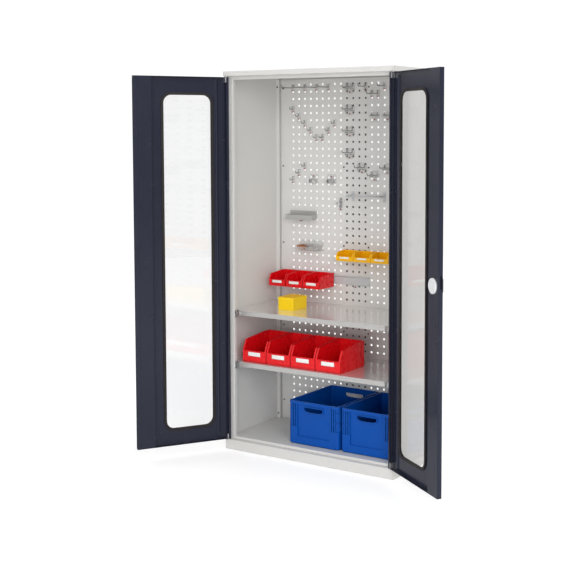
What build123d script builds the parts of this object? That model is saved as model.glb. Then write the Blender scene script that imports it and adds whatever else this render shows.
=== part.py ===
from build123d import *
import os
from math import sin, cos, tan, atan2, hypot, pi, radians, degrees, sqrt

# Tall equipment cabinet with two window doors, open as stored.
# Frame: X across (mid-width = 0), Y depth (front face of roof and plinth at
# -DEPTH/2, rear at +DEPTH/2), Z up from the floor. Millimetres.

# ---- driving dimensions -------------------------------------------------
WIDTH, DEPTH, HEIGHT = 1000.0, 500.0, 1950.0
SHEET = 1.2                  # body and door sheet
PLINTH_H = 52.0
ROOF_H = 25.0
FLOOR_Z = 65.0               # top of the floor pan
STILE_Y = -222.0             # face of the front stiles, header and sill
STILE_IN = 461.0             # inner edge of the stiles
SIDE_OUT = 498.7             # outer face of the side panels
DOOR_Z0, DOOR_Z1 = 55.0, 1920.0
DOOR_T = 22.8                # door thickness
PIVOT_X, PIVOT_Y = 488.0, -242.0
LEFT_OPEN, RIGHT_OPEN = 121.9, 145.3      # how far each door stands open
DOOR_FREE = 486.5            # pivot axis to the free edge
DOOR_BACK = -10.0            # pivot axis to the hinge-side edge
WIN_U0, WIN_U1, WIN_Z0, WIN_Z1 = 69.0, 342.0, 127.0, 1841.0   # outside of the window profile
WIN_R = 54.0                 # its corner radius
PROFILE_W = 13.0             # visible width of the window profile
LOCK_U, LOCK_Z = 436.0, 982.0
ROD_D = 16.5                 # depth of the lock rods behind the door face
PITCH, HOLE = 38.0, 10.0     # perforation
COLS, ROWS = 22, 48
ROW0_Z = 1895.0
BACK_Y = 230.0               # front face of the perforated sheets
POST_Y = 207.0               # front face of the rear uprights
SHELF_UP, SHELF_LOW = 725.0, 457.0        # shelf top faces
NOSE_Y = -215.0
SLOT_PITCH = 12.5

os.makedirs("parts", exist_ok=True)
NODES = {}


def keep(name, shape):
    NODES[name] = shape
    return shape


# ---- small helpers ------------------------------------------------------
def bx(x0, x1, y0, y1, z0, z1):
    return Pos((x0 + x1) / 2, (y0 + y1) / 2, (z0 + z1) / 2) * Box(
        abs(x1 - x0), abs(y1 - y0), abs(z1 - z0))


def cyl(p0, p1, r):
    a, b = Vector(*p0), Vector(*p1)
    return Plane(origin=(a + b) / 2, z_dir=(b - a)) * Cylinder(r, (b - a).length)


def fuse(items):
    items = list(items)
    out = items[0]
    if len(items) > 1:
        out = out.fuse(*items[1:])
    return out.clean() if hasattr(out, "clean") else out


def group(items):
    out = []
    for i in items:
        out += list(i.solids())
    return Compound(children=out)


def rrect(x0, x1, y0, y1, r):
    return Pos((x0 + x1) / 2, (y0 + y1) / 2) * RectangleRounded(x1 - x0, y1 - y0, r)


def strip(points, t, r):
    """Section of a bent sheet: a centreline with round bends, t thick."""
    n = len(points)
    P = [Vector(p[0], p[1]) for p in points]
    left, right = [], []

    def nrm(a, b):
        d = (b - a).normalized()
        return Vector(-d.Y, d.X)

    h = t / 2
    n0 = nrm(P[0], P[1])
    left.append((P[0] + n0 * h, None))
    right.append((P[0] - n0 * h, None))
    for i in range(1, n - 1):
        a, b, c = P[i - 1], P[i], P[i + 1]
        d1, d2 = (b - a).normalized(), (c - b).normalized()
        cr = d1.X * d2.Y - d1.Y * d2.X
        ang = atan2(cr, d1.X * d2.X + d1.Y * d2.Y)
        cut = r * tan(abs(ang) / 2)
        s, e = b - d1 * cut, b + d2 * cut
        sg = 1 if ang > 0 else -1
        n1, n2 = nrm(a, b), nrm(b, c)
        ctr = s + n1 * (r * sg)
        mid = ((s - ctr) + (e - ctr)).normalized()
        for side, lst in ((1, left), (-1, right)):
            rad = r - side * sg * h
            lst.append((s + n1 * (h * side), None))
            lst.append((e + n2 * (h * side), ctr + mid * rad))
    nl = nrm(P[-2], P[-1])
    left.append((P[-1] + nl * h, None))
    right.append((P[-1] - nl * h, None))
    edges = []

    def chain(lst):
        for k in range(1, len(lst)):
            p, (q, m) = lst[k - 1][0], lst[k]
            if m is None:
                edges.append(Line(p, q))
            else:
                edges.append(ThreePointArc(p, m, q))

    chain(left)
    edges.append(Line(left[-1][0], right[-1][0]))
    rr = []
    for k in range(len(right) - 1, 0, -1):
        p, m = right[k]
        q = right[k - 1][0]
        rr.append(Line(p, q) if m is None else ThreePointArc(p, m, q))
    edges += rr
    edges.append(Line(right[0][0], left[0][0]))
    return make_face(Curve() + [e for e in edges])


def up_z(face, z0, z1):
    return extrude(Pos(0, 0, z0) * face, amount=z1 - z0, dir=(0, 0, 1))


def along_x(face, x0, x1):
    """face drawn as (Y, Z)."""
    pl = Plane(origin=(x0, 0, 0), x_dir=(0, 1, 0), z_dir=(1, 0, 0))
    return extrude(pl * face, amount=x1 - x0, dir=(1, 0, 0))


def mirror_x(shape):
    return mirror(shape, about=Plane.YZ)


# ======================= cabinet body ====================================
# side panel: stile return, stile face, side, rear fold
side_path = [(-STILE_IN - 0.6, STILE_Y + 20), (-STILE_IN - 0.6, STILE_Y + 0.6),
             (-SIDE_OUT + 0.6, STILE_Y + 0.6), (-SIDE_OUT + 0.6, DEPTH / 2 - 2.2),
             (-457.0, DEPTH / 2 - 2.2)]
side = up_z(strip(side_path, SHEET, 1.8), 40.0, 1925.0 + 5.0)
# the stile face stops at the plinth top and under the roof return
side -= bx(-SIDE_OUT - 1, -STILE_IN + 1, STILE_Y - 1, STILE_Y + 22, 30.0, PLINTH_H)
side -= bx(-SIDE_OUT - 1, -STILE_IN + 1, STILE_Y - 1, STILE_Y + 22, 1924.8, 1940.0)
# round holes in the stile return that take the front shelf clips
for zs in (SHELF_UP, SHELF_LOW):
    side -= cyl((-STILE_IN - 4, STILE_Y + 12, zs - 30), (-STILE_IN + 4, STILE_Y + 12, zs - 30), 3.2)
keep("side_panel_left", side)
keep("side_panel_right", mirror_x(side))

# roof: folded cap with skirts, an underside return over the doors and a header lip
rz0, rz1 = HEIGHT - ROOF_H, HEIGHT
yf, yb = -DEPTH / 2, DEPTH / 2
roof_path = [(STILE_Y + 0.6, rz0 - 18), (STILE_Y + 0.6, rz0 + 0.6), (yf + 0.6, rz0 + 0.6),
             (yf + 0.6, rz1 - 0.6), (yb - 0.6, rz1 - 0.6), (yb - 0.6, rz0)]
roof = along_x(strip(roof_path, SHEET, 1.6), -WIDTH / 2, WIDTH / 2)
roof -= bx(-WIDTH / 2 - 1, -STILE_IN + 0.6, STILE_Y - 3, STILE_Y + 3, rz0 - 30, rz0 + 1.3)
roof -= bx(STILE_IN - 0.6, WIDTH / 2 + 1, STILE_Y - 3, STILE_Y + 3, rz0 - 30, rz0 + 1.3)
skirt = [bx(s * (WIDTH / 2 - SHEET), s * WIDTH / 2, yf + 0.4, yb - 0.4, rz0, rz1 - 0.6) for s in (-1, 1)]
roof = fuse([roof] + skirt)
roof -= cyl((PIVOT_X - LOCK_U, yf + ROD_D, rz0 - 3), (PIVOT_X - LOCK_U, yf + ROD_D, rz0 + 4), 5.5)
for s in (-1, 1):
    roof -= cyl((s * PIVOT_X, PIVOT_Y, rz0 - 3), (s * PIVOT_X, PIVOT_Y, rz0 + 4), 6.0)
keep("roof_cap", roof)


# shelf-shaped sheet: full width behind the stiles, notched round the uprights
def tray(ztop, nose_x, nose_y, nose_h, lip, rear_y, tongue_x, flange):
    path = [(nose_y + 0.6 + lip, ztop - nose_h + 0.6), (nose_y + 0.6, ztop - nose_h + 0.6),
            (nose_y + 0.6, ztop - 0.6), (rear_y - 0.6, ztop - 0.6), (rear_y - 0.6, ztop - flange)]
    if lip <= 0:
        path = path[1:]
        path[0] = (nose_y + 0.6, ztop - nose_h)
    t = along_x(strip(path, SHEET, 1.8), -496.8, 496.8)
    yb0 = STILE_Y + 22.0
    for s in (-1, 1):
        xa, xb = sorted((s * nose_x, s * 520))
        t -= bx(xa, xb, nose_y - 5, yb0, ztop - 60, ztop + 5)
        xa, xb = sorted((s * tongue_x, s * 520))
        t -= bx(xa, xb, POST_Y - 1.0, rear_y + 5, ztop - 60, ztop + 5)
    walls = [bx(s * 495.6, s * 496.8, yb0, POST_Y - 1.0, ztop - flange, ztop - 0.3) for s in (-1, 1)]
    return fuse([t] + walls)


floor = tray(FLOOR_Z, STILE_IN - 0.8, STILE_Y, 12.6, 0, BACK_Y - 0.6, 477.0, 22.0)
keep("floor_pan", floor)

# plinth: folded ring with inward feet and a top return under the doors
pl_front = along_x(strip([(yf + 26, 0.75), (yf + 0.75, 0.75), (yf + 0.75, PLINTH_H - 0.75),
                          (STILE_Y - 0.3, PLINTH_H - 0.75)], 1.5, 2.0), -WIDTH / 2, WIDTH / 2)
pl_rear = along_x(strip([(yb - 26, 0.75), (yb - 0.75, 0.75), (yb - 0.75, PLINTH_H - 4)], 1.5, 2.0),
                  -WIDTH / 2, WIDTH / 2)
pl_sides = []
for s in (-1, 1):
    pl_sides.append(bx(s * (WIDTH / 2 - 1.2), s * WIDTH / 2, yf + 1.0, yb - 1.0, 0, PLINTH_H - 0.6))
    pl_sides.append(bx(s * (WIDTH / 2 - 26), s * WIDTH / 2, yf + 1.0, yb - 1.0, 0, 1.5))
plinth = fuse([pl_front, pl_rear] + pl_sides)
plinth -= cyl((PIVOT_X - LOCK_U, yf + ROD_D, PLINTH_H - 4), (PIVOT_X - LOCK_U, yf + ROD_D, PLINTH_H + 3), 5.5)
for s in (-1, 1):
    plinth -= cyl((s * PIVOT_X, PIVOT_Y, PLINTH_H - 4), (s * PIVOT_X, PIVOT_Y, PLINTH_H + 3), 6.0)
keep("plinth_frame", plinth)

# channel under the floor at mid-depth, the flat the cabinet's origin sits on
rail = along_x(strip([(-30 + 0.75, FLOOR_Z - SHEET - 0.1), (-29.25, 0.75), (29.25, 0.75),
                      (29.25, FLOOR_Z - SHEET - 0.1)], 1.5, 2.5), -473.0, 473.0)
keep("base_cross_rail", rail)


# perforated rear sheets
def perforated(x0, x1, z0, z1, cols):
    holes = [Pos((i - 10.5) * PITCH, ROW0_Z - k * PITCH) * Rectangle(HOLE, HOLE)
             for i in cols for k in range(ROWS)]
    outer = Pos((x0 + x1) / 2, (z0 + z1) / 2) * Rectangle(x1 - x0, z1 - z0)
    ow = outer.face().outer_wire()
    inner = [h.face().outer_wire() for h in holes]
    f = Face(ow, inner)
    pl = Plane(origin=(0, BACK_Y + SHEET, 0), x_dir=(1, 0, 0), z_dir=(0, -1, 0))
    return extrude(pl * f, amount=SHEET, dir=(0, -1, 0))


PAN_Z0, PAN_Z1 = 79.0, 1914.0
keep("perforated_back_left", perforated(-476.5, -0.1, PAN_Z0, PAN_Z1, range(0, 11)))
keep("perforated_back_right", perforated(0.1, 476.5, PAN_Z0, PAN_Z1, range(11, 22)))

# hat section behind the joint of the two sheets
hat = strip([(-84, 231.9), (-67.4, 231.9), (-67.4, 248.9), (67.4, 248.9), (67.4, 231.9), (84, 231.9)], 1.2, 1.6)
keep("rear_centre_stiffener", up_z(hat, 92.0, 1902.0))

# cross rails above and below the sheets
top_rail = along_x(strip([(247.5, 1909.0), (231.9, 1909.0), (231.9, 1924.0), (247.5, 1924.0)], 1.2, 1.6), -453.5, 453.5)
low_rail = along_x(strip([(247.5, 52.6), (231.9, 52.6), (231.9, 91.0), (247.5, 91.0)], 1.2, 1.6), -453.5, 453.5)
keep("rear_cross_rails", group([top_rail, low_rail]))

# slotted rear uprights
post_path = [(-497.3, POST_Y + 0.6), (-478.6, POST_Y + 0.6), (-478.6, 232.0), (-455.0, 232.0)]
post = up_z(strip(post_path, SHEET, 1.6), 45.0, 1924.5)
n_slots = 136
slots = Sketch() + [Pos(218.5, 160.0 + k * SLOT_PITCH) * Rectangle(5.6, 7.4) for k in range(n_slots)]
plq = Plane(origin=(-481.0, 0, 0), x_dir=(0, 1, 0), z_dir=(1, 0, 0))
post -= extrude(plq * slots, amount=5, dir=(1, 0, 0))
keep("rear_upright_left", post)
keep("rear_upright_right", mirror_x(post))

# bushes that the door pivots turn in
bushes = []
for s in (-1, 1):
    for z0, z1, zf in ((rz0 - 3.0, rz0 + 9.0, rz0 - 3.0), (PLINTH_H - 9.0, PLINTH_H + 1.6, PLINTH_H)):
        b = cyl((s * PIVOT_X, PIVOT_Y, z0), (s * PIVOT_X, PIVOT_Y, z1), 5.9)
        f = cyl((s * PIVOT_X, PIVOT_Y, zf), (s * PIVOT_X, PIVOT_Y, zf + (3.0 if zf < 1000 else 2.95) * (0.53 if zf < 1000 else 1.0)), 7.4)
        b = b.fuse(f)
        b -= cyl((s * PIVOT_X, PIVOT_Y, z0 - 1), (s * PIVOT_X, PIVOT_Y, z1 + 1), 4.05)
        bushes.append(b)
keep("pivot_bushes", group(bushes))


# shelves
def shelf(ztop):
    t = tray(ztop, 433.0, NOSE_Y, 25.0, 13.0, BACK_Y - 0.8, 476.6, 22.0)
    rib = along_x(strip([(-20, ztop - SHEET - 0.65), (-8, ztop - SHEET - 0.65), (-8, ztop - 19),
                         (30, ztop - 19), (30, ztop - SHEET - 0.65), (42, ztop - SHEET - 0.65)], 1.2, 1.6),
                  -494.0, 494.0)
    return fuse([t, Pos(0, 0, 0.05) * rib])


keep("shelf_upper", shelf(SHELF_UP))
keep("shelf_lower", shelf(SHELF_LOW))


# shelf clips: a hooked plate in each front return and rear upright
def clips(ztop):
    out = []
    for s in (-1, 1):
        a = bx(s * 460.9, s * 459.2, STILE_Y + 4, STILE_Y + 20, ztop - 38, ztop - 1)
        tab = bx(s * 460.9, s * 449.5, STILE_Y + 4, STILE_Y + 5.8, ztop - 24.5, ztop - 0.5)
        foot = bx(s * 460.9, s * 424.0, STILE_Y + 8.5, STILE_Y + 20.0, ztop - 26.9, ztop - 25.2)
        peg = cyl((s * 466.0, STILE_Y + 12, ztop - 30), (s * 460.0, STILE_Y + 12, ztop - 30), 2.9)
        out.append(fuse([a, tab, foot, peg]))
        r = bx(s * 477.9, s * 476.9, 212.0, 225.0, ztop - 44.0, ztop - 22.6)
        rf = bx(s * 477.9, s * 462.0, 212.0, 225.0, ztop - 24.0, ztop - 22.4)
        k = round((ztop - 36.0 - 160.0) / SLOT_PITCH)
        zk = 160.0 + k * SLOT_PITCH
        rp = bx(s * 481.5, s * 477.0, 217.2, 219.8, zk - 2.6, zk + 2.6)
        out.append(fuse([r, rf, rp]))
    return out


keep("shelf_clips", group(clips(SHELF_UP) + clips(SHELF_LOW)))

# screws that hold the rear sheets, and the dark plugs at the ends of the uprights
screws = []
for s in (-1, 1):
    for x in (465.0, 76.0):
        for z in (150.0, 587.0, 1024.0, 1461.0, 1876.0 - 19):
            zz = ROW0_Z - 19 - PITCH * round((ROW0_Z - 19 - z) / PITCH)
            hd = Pos(s * x, BACK_Y - 1.1, zz) * Rot(90, 0, 0) * Cylinder(4.2, 2.2)
            screws.append(hd)
plugs = []
for s in (-1, 1):
    for z in (1884.0, 92.0):
        hd = Pos(s * 488.0, POST_Y - 1.0, z) * Rot(90, 0, 0) * Cylinder(4.5, 2.0)
        plugs.append(hd)
keep("rear_fasteners", group(screws + plugs))


# ======================= doors ===========================================
def place(shape, side):
    """Closed position to the stored open position."""
    if side == "L":
        return shape.rotate(Axis((-PIVOT_X, PIVOT_Y, 0), (0, 0, 1)), -LEFT_OPEN)
    return shape.rotate(Axis((PIVOT_X, PIVOT_Y, 0), (0, 0, 1)), RIGHT_OPEN)


def dx(side, u):
    return (u - PIVOT_X) if side == "L" else (PIVOT_X - u)


def dy(d):
    return -DEPTH / 2 + d


def dbox(side, u0, u1, d0, d1, z0, z1):
    xa, xb = sorted((dx(side, u0), dx(side, u1)))
    return bx(xa, xb, dy(d0), dy(d1), z0, z1)


def dcyl_d(side, u, z, d0, d1, r):
    return cyl((dx(side, u), dy(d0), z), (dx(side, u), dy(d1), z), r)


def dcyl_z(side, u, d, z0, z1, r):
    return cyl((dx(side, u), dy(d), z0), (dx(side, u), dy(d), z1), r)


def dplate(side, face_uz, d0, d1):
    """face drawn as (u, z), from depth d0 to d1."""
    pl = Plane(origin=(-PIVOT_X, dy(d0), 0), x_dir=(1, 0, 0), z_dir=(0, -1, 0))
    s = extrude(pl * face_uz, amount=-(d1 - d0))
    if side == "R":
        s = mirror_x(s)
    return s


WU, WZ = (WIN_U0 + WIN_U1) / 2, (WIN_Z0 + WIN_Z1) / 2


def win(grow):
    """Rounded window outline, grown or shrunk from the outside of the profile."""
    return Pos(WU, WZ) * RectangleRounded(WIN_U1 - WIN_U0 + 2 * grow, WIN_Z1 - WIN_Z0 + 2 * grow, WIN_R + grow)


CHAN_U = 394.0               # inner edge of the box section at the free edge


def door_shell(side):
    t = SHEET
    f = dx("L", DOOR_FREE) - t / 2
    b = dx("L", DOOR_BACK) + t / 2
    path = [(dx("L", 3.5), dy(DOOR_T) - t / 2), (b, dy(DOOR_T) - t / 2), (b, dy(0) + t / 2),
            (f, dy(0) + t / 2), (f, dy(DOOR_T - 1.6))]
    s = up_z(strip(path, t, 2.4), DOOR_Z0 + t, DOOR_Z1 - t)
    caps = []
    for z0, z1 in ((DOOR_Z0, DOOR_Z0 + t), (DOOR_Z1 - t, DOOR_Z1)):
        c = Pos(0, 0, z0) * extrude(Pos((b + f) / 2, dy(DOOR_T / 2)) *
                                    RectangleRounded(f - b + t, DOOR_T, 2.4), amount=t)
        caps.append(c)
    s = fuse([s] + caps)
    if side == "R":
        s = mirror_x(s)
    s -= dplate(side, win(-6.0), -1, 3)
    # holes for the pivots
    for z in (DOOR_Z0, DOOR_Z1):
        s -= dcyl_z(side, 0, PIVOT_Y + DEPTH / 2, z - 3, z + 3, 4.0)
    if side == "R":
        for z in (DOOR_Z0, DOOR_Z1):
            s -= dcyl_z(side, LOCK_U, ROD_D, z - 3, z + 3, 4.3)
        s -= dcyl_d(side, LOCK_U, LOCK_Z, -2, 3, 8.0)
    # mouth for the side latch
    s -= dbox(side, DOOR_FREE - 4, DOOR_FREE + 4, 6.2, 13.2, LOCK_Z - 10, LOCK_Z + 48)
    return s


def door_channel(side):
    """Box section welded in behind the free edge."""
    t = SHEET
    x0, x1 = dx("L", CHAN_U), dx("L", DOOR_FREE - 0.05)
    path = [(x0 - 11, dy(1.25) + t / 2), (x0 + t / 2, dy(1.25) + t / 2), (x0 + t / 2, dy(DOOR_T) - t / 2), (x1, dy(DOOR_T) - t / 2)]
    s = up_z(strip(path, t, 1.7), DOOR_Z0 + t + 0.05, DOOR_Z1 - t - 0.05)
    if side == "R":
        s = mirror_x(s)
        for dz in (-24, 24):
            s -= dcyl_d(side, LOCK_U, LOCK_Z + dz, DOOR_T - 4, DOOR_T + 2, 2.2)
    else:
        # joggled strip that laps behind the other door
        pad = dbox("L", DOOR_FREE - 20, DOOR_FREE - 6, DOOR_T - 0.3, DOOR_T + 0.7, DOOR_Z0 + 12, DOOR_Z1 - 12)
        lap = dbox("L", DOOR_FREE - 20, DOOR_FREE + 5.6, DOOR_T + 0.4, DOOR_T + 1.6, DOOR_Z0 + 12, DOOR_Z1 - 12)
        s = fuse([s, pad, lap])
    return s


def door_stiffener(side):
    """Shallow hat section welded to the skin beside the hinge edge."""
    zero = dy(SHEET + 0.05) + 0.5
    x0 = dx("L", 36.0)
    path = [(x0, zero), (x0 + 7, zero), (x0 + 12, zero + 6.0), (x0 + 19, zero + 6.0), (x0 + 24, zero), (x0 + 30, zero)]
    s = up_z(strip(path, 1.0, 1.6), DOOR_Z0 + 14, DOOR_Z1 - 14)
    if side == "R":
        s = mirror_x(s)
    return s


def door_gasket(side):
    ring = dplate(side, win(0), -2.2, 6.6) - dplate(side, win(-PROFILE_W), -5, 10)
    ring = ring - (dplate(side, win(5), -0.05, SHEET + 0.05) - dplate(side, win(-6.05), -0.05, SHEET + 0.05))
    ring = ring - dplate(side, win(-7.9), 2.3, 5.4)
    return ring


def door_pane(side):
    return dplate(side, win(-8.0), 2.35, 5.35)


def door_pivots(side):
    d = PIVOT_Y + DEPTH / 2
    out = []
    for zc, z0, z1, f0, f1 in ((DOOR_Z1, DOOR_Z1 - 26, DOOR_Z1 + 13.0, DOOR_Z1 - 26, DOOR_Z1 - SHEET - 0.1),
                               (DOOR_Z0, DOOR_Z0 - 11.0, DOOR_Z0 + 26, DOOR_Z0 + SHEET + 0.1, DOOR_Z0 + 26)):
        pin = dcyl_z(side, 0, d, z0, z1, 3.98)
        blk = dbox(side, DOOR_BACK + SHEET + 0.15, 9.0, SHEET + 0.15, DOOR_T - SHEET - 0.15, f0, f1)
        blk = chamfer(blk.edges().filter_by(Axis.Z), 1.4)
        out.append(fuse([pin, blk]))
    return group(out)


for side, nm in (("L", "left"), ("R", "right")):
    keep(nm + "_door_shell", place(door_shell(side), side))
    keep(nm + "_door_box_section", place(door_channel(side), side))
    keep(nm + "_door_window_profile", place(door_gasket(side), side))
    keep(nm + "_door_pane", place(door_pane(side), side))
    keep(nm + "_door_pivots", place(door_pivots(side), side))
    keep(nm + "_door_stiffener", place(door_stiffener(side), side))

# ---- lock in the right door --------------------------------------------
R = "R"
case = fuse([dbox(R, LOCK_U - 27, LOCK_U + 27, 20.2, 21.4, LOCK_Z - 46, LOCK_Z + 46),
             dbox(R, LOCK_U - 27, LOCK_U - 25.8, 2.0, 20.5, LOCK_Z - 46, LOCK_Z + 46),
             dbox(R, LOCK_U - 36, LOCK_U - 25.8, 1.25, 2.45, LOCK_Z - 46, LOCK_Z + 46)])
for dz in (-24, 24):
    case -= dcyl_d(R, LOCK_U, LOCK_Z + dz, 19, 23, 2.2)

cap = dcyl_d(R, LOCK_U, LOCK_Z, DOOR_T, DOOR_T + 6.5, 35.0)
cap = cap.fillet(3.0, cap.faces().sort_by(Axis.Y)[-1].edges())
cap -= dcyl_d(R, LOCK_U, LOCK_Z, DOOR_T - 1, DOOR_T + 4.5, 32.5)
cap = fuse([cap] + [dcyl_d(R, LOCK_U, LOCK_Z + dz, DOOR_T - 2.4, DOOR_T + 5.0, 2.15) for dz in (-24, 24)])
keep("lock_inner_cap", place(cap, R))

guides = []
for z in (180.0, 560.0, 1400.0, 1790.0):
    g = fuse([dbox(R, LOCK_U - 11, LOCK_U + 11, 12.0, DOOR_T - SHEET - 0.05, z, z + 10)])
    g -= dcyl_z(R, LOCK_U, ROD_D, z - 1, z + 11, 3.75)
    guides.append(g)
keep("lock_case_and_guides", place(group([case] + guides), R))

# knob, spindle with drive disc, key cylinder and side latch
kn = dcyl_d(R, LOCK_U, LOCK_Z, -7.5, -0.6, 36.0)
grip = dcyl_d(R, LOCK_U, LOCK_Z, -22.0, -7.0, 31.0)
grip -= dbox(R, LOCK_U - 40, LOCK_U - 12.0, -30, -8.0, LOCK_Z - 40, LOCK_Z + 40)
grip -= dbox(R, LOCK_U + 12.0, LOCK_U + 40, -30, -8.0, LOCK_Z - 40, LOCK_Z + 40)
kn = kn.fillet(2.5, kn.faces().sort_by(Axis.Y)[0].edges())
knob = fuse([kn, grip])
knob -= dcyl_d(R, LOCK_U, LOCK_Z, -23.0, -9.0, 8.6)
knob -= dcyl_d(R, LOCK_U, LOCK_Z, -9.1, 0.0, 5.05)
keep("lock_knob", place(knob, R))

key = dcyl_d(R, LOCK_U, LOCK_Z, -21.6, -9.1, 8.5)
key -= dbox(R, LOCK_U - 1.1, LOCK_U + 1.1, -23, -18.0, LOCK_Z - 4.6, LOCK_Z + 4.6)
keep("key_cylinder", place(key, R))

# spindle with the drive disc, its two pins and the side latch arm
sp = dcyl_d(R, LOCK_U, LOCK_Z, -9.0, 12.0, 5.0)
disc = dcyl_d(R, LOCK_U, LOCK_Z, 11.3, 14.3, 17.0)
PIN_R = 13.0
pins = [dcyl_d(R, LOCK_U + PIN_R * cos(a), LOCK_Z + PIN_R * sin(a), 13.0, 18.9, 2.4)
        for a in (radians(225), radians(45))]
arm = [dcyl_d(R, LOCK_U, LOCK_Z, 8.0, 11.5, 10.0),
       dbox(R, LOCK_U - 7, LOCK_U + 7, 8.0, 11.0, LOCK_Z, LOCK_Z + 57),
       dcyl_d(R, LOCK_U, LOCK_Z + 57, 8.0, 11.0, 7.0)]
keep("lock_spindle", place(fuse([sp, disc] + pins + arm), R))

# rods: round bar with a slotted head over the drive pin
def rod(s):
    """s = +1 for the upper rod, -1 for the lower."""
    def ub(a, b):
        return sorted((LOCK_U - s * a, LOCK_U - s * b))

    def zb(a, b):
        return sorted((LOCK_Z + s * a, LOCK_Z + s * b))

    hd = dbox(R, *ub(4.5, 19.5), 15.4, 17.9, *zb(-17.0, 32.0))
    br = dbox(R, *ub(-4.0, 19.5), 15.4, 17.9, *zb(24.0, 34.0))
    z_end = (DOOR_Z1 - 0.4) if s > 0 else (DOOR_Z0 + 0.4)
    bar = dcyl_z(R, LOCK_U, ROD_D, *sorted((LOCK_Z + s * 25.0, z_end)), 3.5)
    body = fuse([hd, br, bar])
    zc = LOCK_Z - s * PIN_R * sin(radians(45))
    return body - dbox(R, *ub(6.4, 16.4), 14, 20, zc - 3.05, zc + 3.05)


keep("upper_lock_rod", place(rod(1), R))
keep("lower_lock_rod", place(rod(-1), R))


# ======================= wall fittings ===================================
def hx(c):
    return (c - 10.5) * PITCH


def hz(r):
    return ROW0_Z - r * PITCH


YP = BACK_Y - 0.05           # face the fittings bear on


def wire(points, r, bend):
    """Round wire through points, with tangent bends."""
    path = FilletPolyline(*points, radius=bend)
    start = path @ 0
    tang = path % 0
    return sweep(Plane(origin=start, z_dir=tang) * Circle(r), path=path)


FACE = Plane(origin=(0, YP, 0), x_dir=(1, 0, 0), z_dir=(0, -1, 0))


def oval(x, z, w, h, t):
    """Upright rounded plate lying on the sheet."""
    return extrude(FACE * (Pos(x, z) * RectangleRounded(w, h, min(w, h) / 2 - 0.1)), amount=t)


def hook_pin(c, r, length, tip=14.0, wr=2.4):
    """One bent wire: hooked behind the sheet, down the base, out, tip turned up."""
    x, z0, z1 = hx(c), hz(r), hz(r + 1)
    zc = (z0 + z1) / 2 + 2.0
    return wire([(x, YP + 8.0, z0 + 10.0), (x, YP + 8.0, z0), (x, YP - 6.0, z0), (x, YP - 6.0, zc),
                 (x, YP - length, zc), (x, YP - length - tip * 0.3, zc + tip)], wr, 3.4)


def hook_base(c, r):
    """Clear moulded base the wire passes through."""
    x, z0, z1 = hx(c), hz(r), hz(r + 1)
    b = oval(x, (z0 + z1) / 2 - 1.5, 22.0, 50.0, 2.6)
    b = fuse([b, oval(x, (z0 + z1) / 2 - 1.5, 22.0, 50.0, 4.4) - oval(x, (z0 + z1) / 2 - 1.5, 18.0, 46.0, 6.0)])
    b -= cyl((x, YP + 1, z0), (x, YP - 8, z0), 2.75)
    b -= cyl((x, YP + 1, z1 + 7.0), (x, YP - 8, z1 + 7.0), 1.6)
    return b


def red_dot(x, z):
    """Small coloured pin that locks the base."""
    return fuse([cyl((x, YP - 2.65, z), (x, YP - 7.5, z), 3.2), cyl((x, YP - 1.0, z), (x, YP - 3.0, z), 1.55)])


LONG = [(0, 0), (2, 0), (4, 0), (6, 0), (12, 0), (15, 0), (13, 1), (14, 1)]
SHORT = [(0, 3), (1, 4), (2, 5), (3, 6), (4, 7), (5, 7), (6, 6), (7, 5), (0, 13), (1, 12), (2, 11)]
DOUBLE = [(9, 0), (9, 3), (9, 6), (9, 9), (11, 11), (13, 12), (15, 11)]
long_len = {(0, 0): 105, (2, 0): 105, (4, 0): 105, (6, 0): 105, (12, 0): 75, (15, 0): 75, (13, 1): 55, (14, 1): 55}
PINS, BASES, DOTS = [], [], []
for c, r in LONG:
    PINS.append(hook_pin(c, r, long_len[(c, r)]))
for c, r in SHORT:
    PINS.append(hook_pin(c, r, 33.0, tip=11.0, wr=2.2))
for c, r in LONG + SHORT:
    BASES.append(hook_base(c, r))
    DOTS.append(red_dot(hx(c), hz(r + 1) + 7.0))


def double_hook(c, r, length=52.0):
    """Two pins on a wide rounded base, with a short cross wire on either side."""
    xa, xb, z0, z1 = hx(c), hx(c + 1), hz(r), hz(r + 1)
    xm, zm = (xa + xb) / 2, (z0 + z1) / 2
    for x in (xa + 3.0, xb - 3.0):
        PINS.append(wire([(x, YP + 8.0, z0 + 10.0), (x, YP + 8.0, z0), (x, YP - 6.0, z0), (x, YP - 6.0, zm),
                          (x, YP - length, zm), (x, YP - length - 3.0, zm + 12.0)], 2.2, 3.4))
    for sx in (-1, 1):
        PINS.append(cyl((xm + sx * 5.0, YP - 11.0, zm - 9.0), (xm + sx * 27.0, YP - 11.0, zm - 9.0), 1.7))
    sk = Pos(xm, zm - 4.0) * RectangleRounded(60.0, 58.0, 22.0)
    si = Pos(xm, zm - 4.0) * RectangleRounded(55.0, 53.0, 19.5)
    b = fuse([extrude(FACE * sk, amount=2.6), extrude(FACE * sk, amount=5.0) - extrude(FACE * si, amount=6.0)])
    for x in (xa + 3.0, xb - 3.0):
        b -= cyl((x, YP + 1, z0), (x, YP - 8, z0), 2.6)
    # two posts that carry the cross wires
    for sx in (-1, 1):
        post_ = bx(xm + sx * 9.0 - 2.5, xm + sx * 9.0 + 2.5, YP - 13.5, YP - 2.0, zm - 12.5, zm - 5.5)
        post_ -= cyl((xm - 40, YP - 11.0, zm - 9.0), (xm + 40, YP - 11.0, zm - 9.0), 1.75)
        b = b.fuse(post_)
    b -= cyl((xm, YP + 1, z1 - 6.0), (xm, YP - 8, z1 - 6.0), 1.6)
    BASES.append(b)
    DOTS.append(red_dot(xm, z1 - 6.0))


for c, r in DOUBLE:
    double_hook(c, r)


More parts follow.
